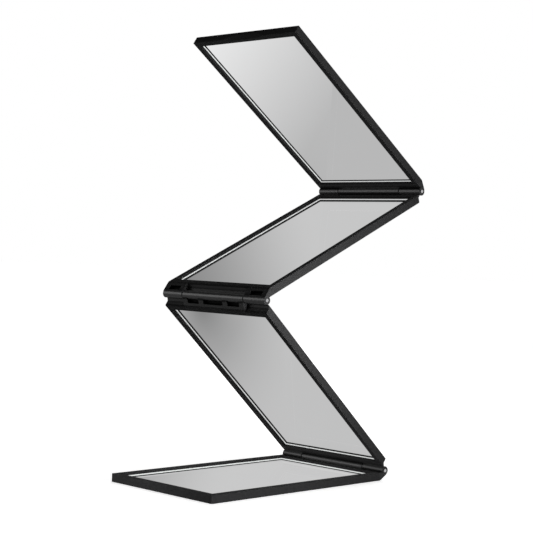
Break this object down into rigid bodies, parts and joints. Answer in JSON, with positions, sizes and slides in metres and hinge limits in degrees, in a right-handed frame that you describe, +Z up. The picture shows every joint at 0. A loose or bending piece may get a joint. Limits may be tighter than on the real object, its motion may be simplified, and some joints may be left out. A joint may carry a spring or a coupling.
{
  "type": "four-way mirror",
  "caption": "Folding mirror: framed mirror panels joined end to end by pin hinges, standing as a zigzag on the base panel or folded flat into a stack.",
  "frame": {"origin": "centre of the base panel's underside, at the tabletop", "axes": "+Z up; +Y from the base panel's free end towards the lower hinge; +X along the hinge pins, towards the pin ends that the picture shows"},
  "size_m": [0.1146, 0.234, 0.3562],
  "materials": {
    "frame_plastic": "satin black moulded plastic",
    "mirror_glass": "silvered glass with a ground edge",
    "mounting_tape": "thin foam tape",
    "pin_steel": "bright drawn steel"
  },
  "bodies": {
    "base_panel": {"base_frame": "frame_plastic", "base_mirror": "mirror_glass", "base_tape": "mounting_tape", "lower_hinge_pin": "pin_steel"},
    "second_panel": {"second_frame": "frame_plastic", "second_mirror": "mirror_glass", "second_tape": "mounting_tape"},
    "third_panel": {"third_frame": "frame_plastic", "third_mirror": "mirror_glass", "third_tape": "mounting_tape", "middle_hinge_pin": "pin_steel"},
    "top_panel": {"top_frame": "frame_plastic", "top_mirror": "mirror_glass", "top_tape": "mounting_tape", "upper_hinge_pin": "pin_steel"}
  },
  "joints": [
    {"name": "lower_hinge", "type": "hinge", "parent": "base_panel", "child": "second_panel", "pos_m": [0, 0.1018, 0.0077], "axis": [1, 0, 0], "range_deg": [-139, 41]},
    {"name": "middle_hinge", "type": "hinge", "parent": "second_panel", "child": "third_panel", "pos_m": [0, -0.04578, 0.14765], "axis": [1, 0, 0], "range_deg": [-65.5, 114.5]},
    {"name": "upper_hinge", "type": "hinge", "parent": "third_panel", "child": "top_panel", "pos_m": [0, 0.13547, 0.23993], "axis": [1, 0, 0], "range_deg": [-121.5, 58.5]}
  ]
}
